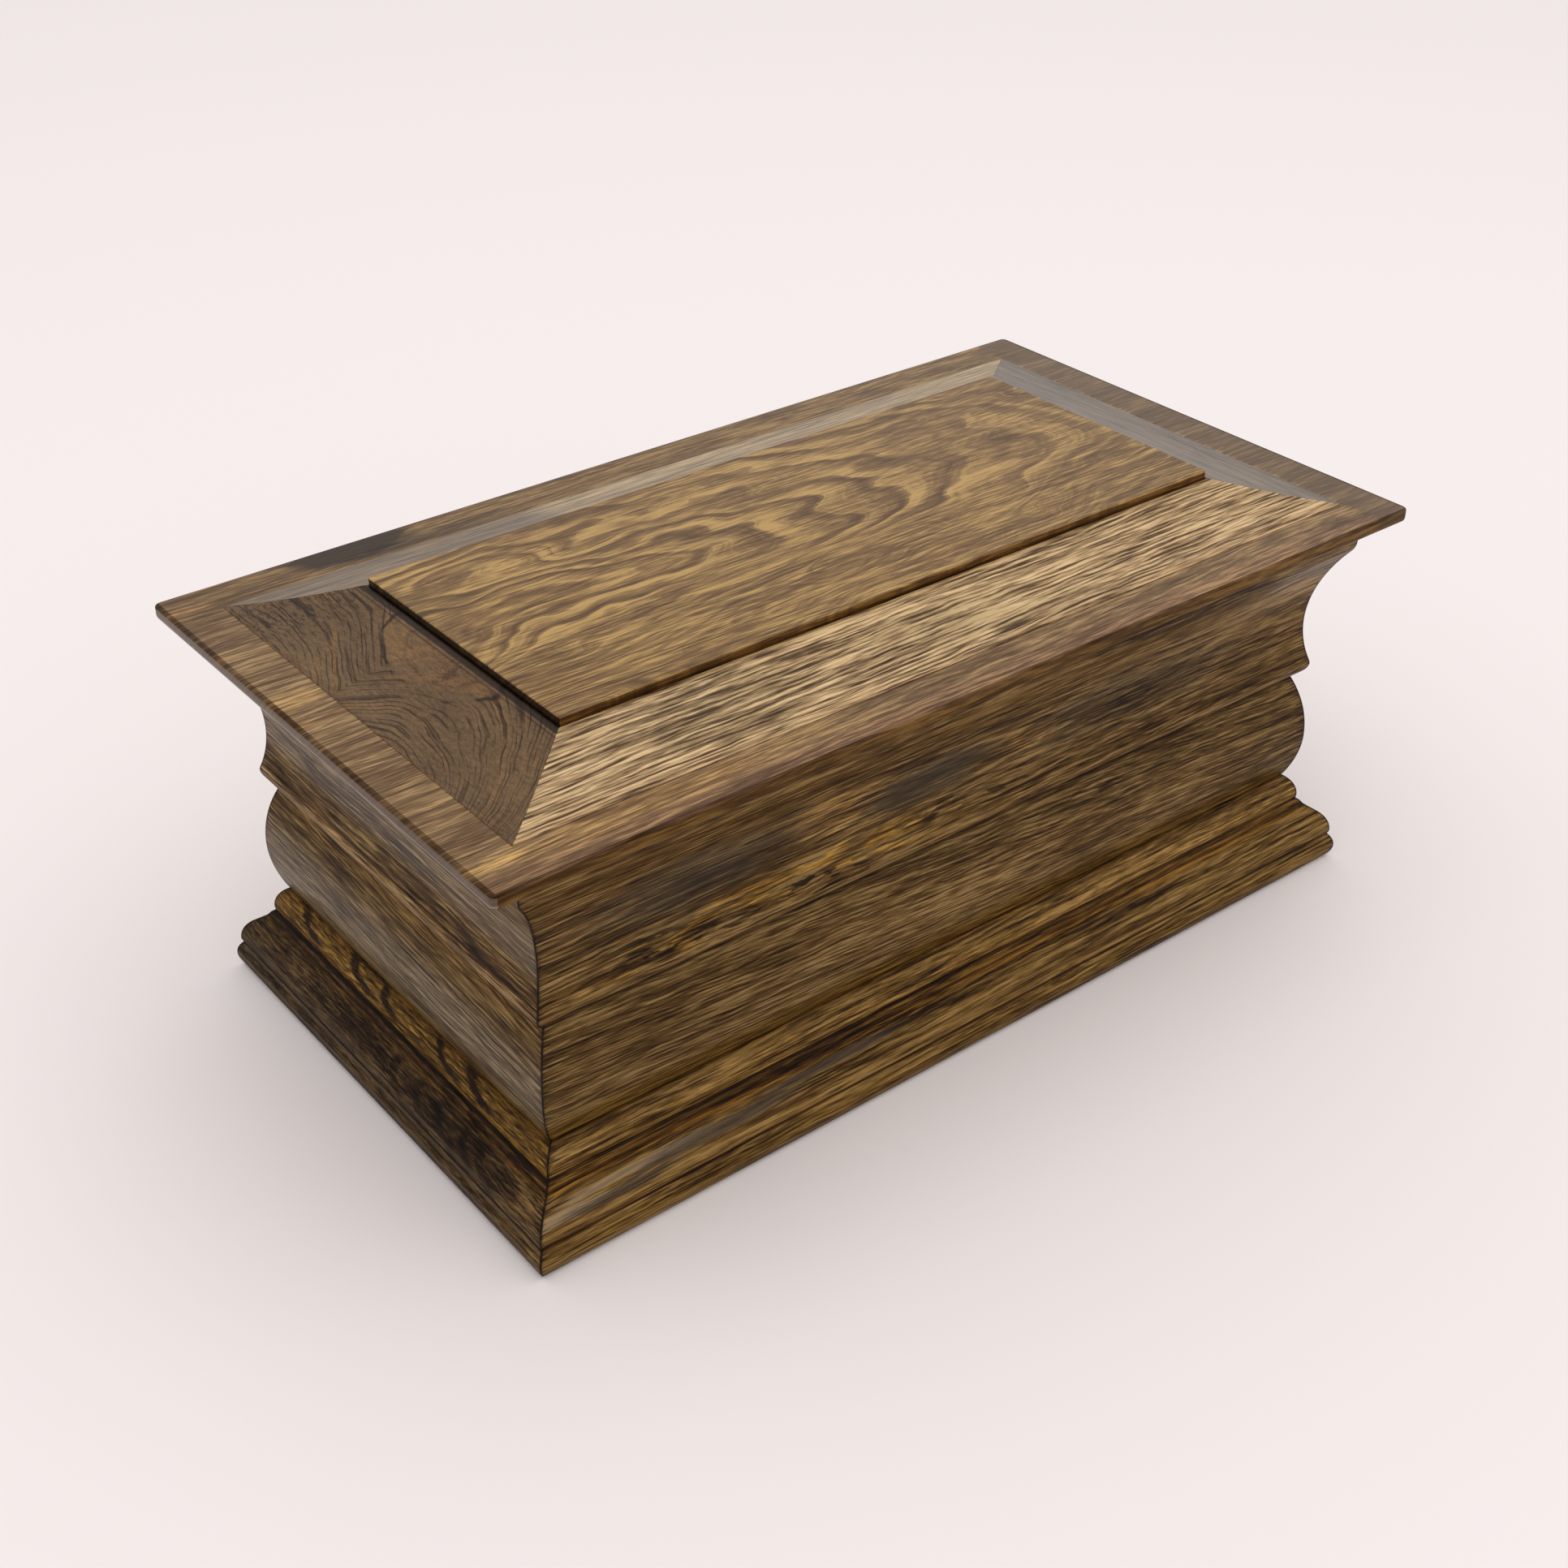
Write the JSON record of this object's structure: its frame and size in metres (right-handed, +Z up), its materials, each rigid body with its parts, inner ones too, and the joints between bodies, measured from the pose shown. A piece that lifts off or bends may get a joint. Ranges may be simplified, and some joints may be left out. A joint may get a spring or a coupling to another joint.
{
  "type": "cremation urn box",
  "caption": "Rectangular wooden cremation urn on a moulded base, with a swelling wall, a hollow crown moulding and an overhanging lift-off lid with a raised panel.",
  "frame": {"origin": "centre of the underside, at the level it stands on", "axes": "+X along the length, +Y from the front to the back, +Z up"},
  "size_m": [0.312, 0.172, 0.132],
  "materials": {
    "bottom_wood": "plain wood, thinly varnished",
    "base_wood": "varnished, satin, golden brown with dark streaks",
    "wall_wood": "varnished, satin, dark golden brown with dark streaks",
    "crown_wood": "varnished, satin, dark golden brown with dark streaks",
    "lid_board_wood": "varnished, satin, greyish brown with lengthways grain",
    "lid_slope_wood": "varnished, satin, tan with dark pores",
    "lid_panel_wood": "varnished, satin, golden brown with arched grain"
  },
  "bodies": {
    "root": {"bottom_board": "bottom_wood", "base_front": "base_wood", "base_right": "base_wood", "base_back": "base_wood", "base_left": "base_wood", "wall_front": "wall_wood", "wall_right": "wall_wood", "wall_back": "wall_wood", "wall_left": "wall_wood", "crown_front": "crown_wood", "crown_right": "crown_wood", "crown_back": "crown_wood", "crown_left": "crown_wood", "lid_board": "lid_board_wood", "lid_slope_front": "lid_slope_wood", "lid_slope_right": "lid_slope_wood", "lid_slope_back": "lid_slope_wood", "lid_slope_left": "lid_slope_wood", "lid_panel": "lid_panel_wood"}
  },
  "joints": []
}
